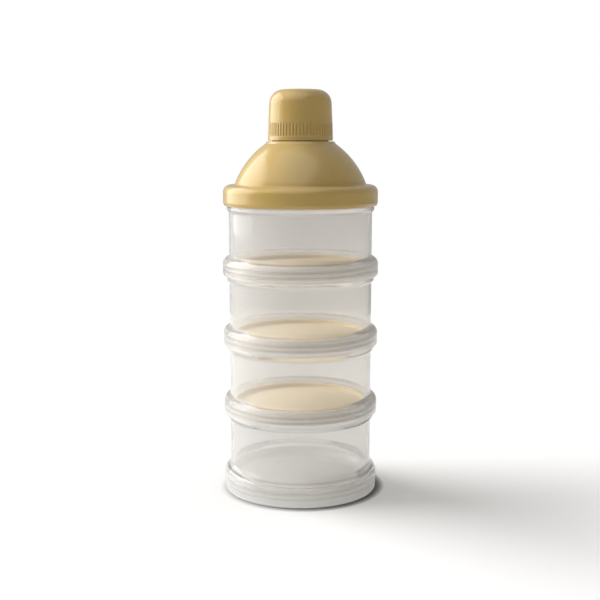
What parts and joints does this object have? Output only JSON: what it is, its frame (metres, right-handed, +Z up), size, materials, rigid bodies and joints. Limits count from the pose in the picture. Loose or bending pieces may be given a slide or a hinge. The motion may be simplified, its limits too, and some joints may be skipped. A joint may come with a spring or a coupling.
{
  "type": "formula dispenser",
  "caption": "Stacking powder dispenser: clear round compartments with divider discs, a domed funnel lid with a spout and a ribbed screw cap.",
  "frame": {"origin": "centre of the foot ring, on the surface that the dispenser stands on", "axes": "+Z up along the stack's axis; every piece is turned about Z, so X and Y are free, and -Y is taken as the front"},
  "size_m": [0.08, 0.08, 0.2065],
  "materials": {
    "clear_plastic": "gloss",
    "cream_plastic": "satin"
  },
  "bodies": {
    "base_container": {"base_container": "clear_plastic"},
    "lower_container": {"lower_container": "clear_plastic"},
    "lower_divider": {"lower_divider": "cream_plastic"},
    "middle_container": {"middle_container": "clear_plastic"},
    "middle_divider": {"middle_divider": "cream_plastic"},
    "top_container": {"top_container": "clear_plastic"},
    "top_divider": {"top_divider": "cream_plastic"},
    "dome_lid": {"dome_lid": "cream_plastic"},
    "spout_cap": {"spout_cap": "cream_plastic"}
  },
  "joints": [
    {"name": "lower_container_lift", "type": "slide", "parent": "base_container", "child": "lower_container", "axis": [0, 0, 1], "range_m": [0, 0.03]},
    {"name": "lower_divider_lift", "type": "slide", "parent": "lower_container", "child": "lower_divider", "axis": [0, 0, 1], "range_m": [0, 0.03]},
    {"name": "middle_container_lift", "type": "slide", "parent": "lower_container", "child": "middle_container", "axis": [0, 0, 1], "range_m": [0, 0.03]},
    {"name": "middle_divider_lift", "type": "slide", "parent": "middle_container", "child": "middle_divider", "axis": [0, 0, 1], "range_m": [0, 0.03]},
    {"name": "top_container_lift", "type": "slide", "parent": "middle_container", "child": "top_container", "axis": [0, 0, 1], "range_m": [0, 0.03]},
    {"name": "top_divider_lift", "type": "slide", "parent": "top_container", "child": "top_divider", "axis": [0, 0, 1], "range_m": [0, 0.03]},
    {"name": "dome_lid_lift", "type": "slide", "parent": "top_container", "child": "dome_lid", "axis": [0, 0, 1], "range_m": [0, 0.03]},
    {"name": "spout_cap_lift", "type": "slide", "parent": "dome_lid", "child": "spout_cap", "axis": [0, 0, 1], "range_m": [0, 0.03]}
  ]
}
